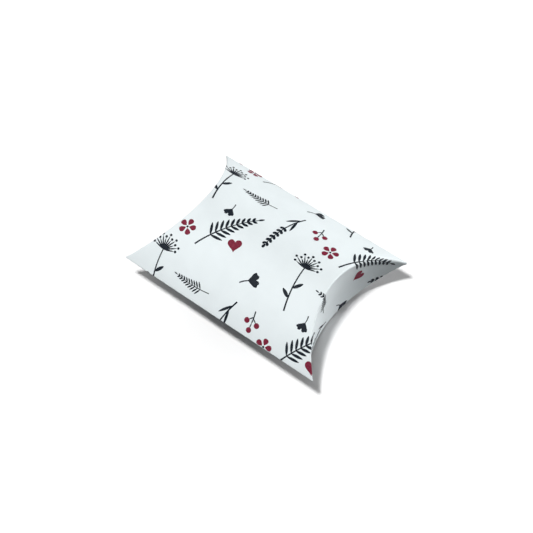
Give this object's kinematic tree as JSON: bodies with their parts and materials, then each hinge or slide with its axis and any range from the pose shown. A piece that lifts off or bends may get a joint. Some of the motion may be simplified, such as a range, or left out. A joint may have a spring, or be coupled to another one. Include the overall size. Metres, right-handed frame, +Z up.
{
  "type": "pillow box",
  "caption": "Pillow-shaped folding gift box of printed white card: arched panels joined at long side creases, bowed ends closed by hinged curved flaps, plain inside.",
  "frame": {"origin": "on the table under the middle of the box, where the bottom panel's belly touches it", "axes": "+X along the box towards its right end, +Y across it towards the glued seam side, +Z up"},
  "size_m": [0.11, 0.0777, 0.034],
  "materials": {
    "printed_card": "coated white folding boxboard, printed outside with fine dark line motifs, plain inside",
    "plain_card": "uncoated back of the same board",
    "crease_card": "scored and folded edge of the same board",
    "glue": "dried white glue"
  },
  "bodies": {
    "box": {"top_panel": "printed_card", "bottom_panel": "printed_card", "folded_side_crease": "crease_card", "seam_side_crease": "crease_card", "glue_flap": "plain_card", "glue_line": "glue", "right_top_crease": "crease_card", "right_bottom_crease": "crease_card", "left_top_crease": "crease_card", "left_bottom_crease": "crease_card"},
    "right_outer_flap": {"right_outer_flap": "printed_card"},
    "right_inner_flap": {"right_inner_flap": "printed_card"},
    "left_outer_flap": {"left_outer_flap": "printed_card"},
    "left_inner_flap": {"left_inner_flap": "printed_card"}
  },
  "joints": [
    {"name": "right_outer_fold", "type": "hinge", "parent": "box", "child": "right_outer_flap", "pos_m": [0.038, 0, 0.0332], "axis": [0, -1, 0], "range_deg": [0, 90]},
    {"name": "right_inner_fold", "type": "hinge", "parent": "box", "child": "right_inner_flap", "pos_m": [0.03685, 0, 0.0008], "axis": [0, -1, 0], "range_deg": [0, 75]},
    {"name": "left_outer_fold", "type": "hinge", "parent": "box", "child": "left_outer_flap", "pos_m": [-0.038, 0, 0.0332], "axis": [0, 1, 0], "range_deg": [0, 90]},
    {"name": "left_inner_fold", "type": "hinge", "parent": "box", "child": "left_inner_flap", "pos_m": [-0.03685, 0, 0.0008], "axis": [0, 1, 0], "range_deg": [0, 75]}
  ]
}
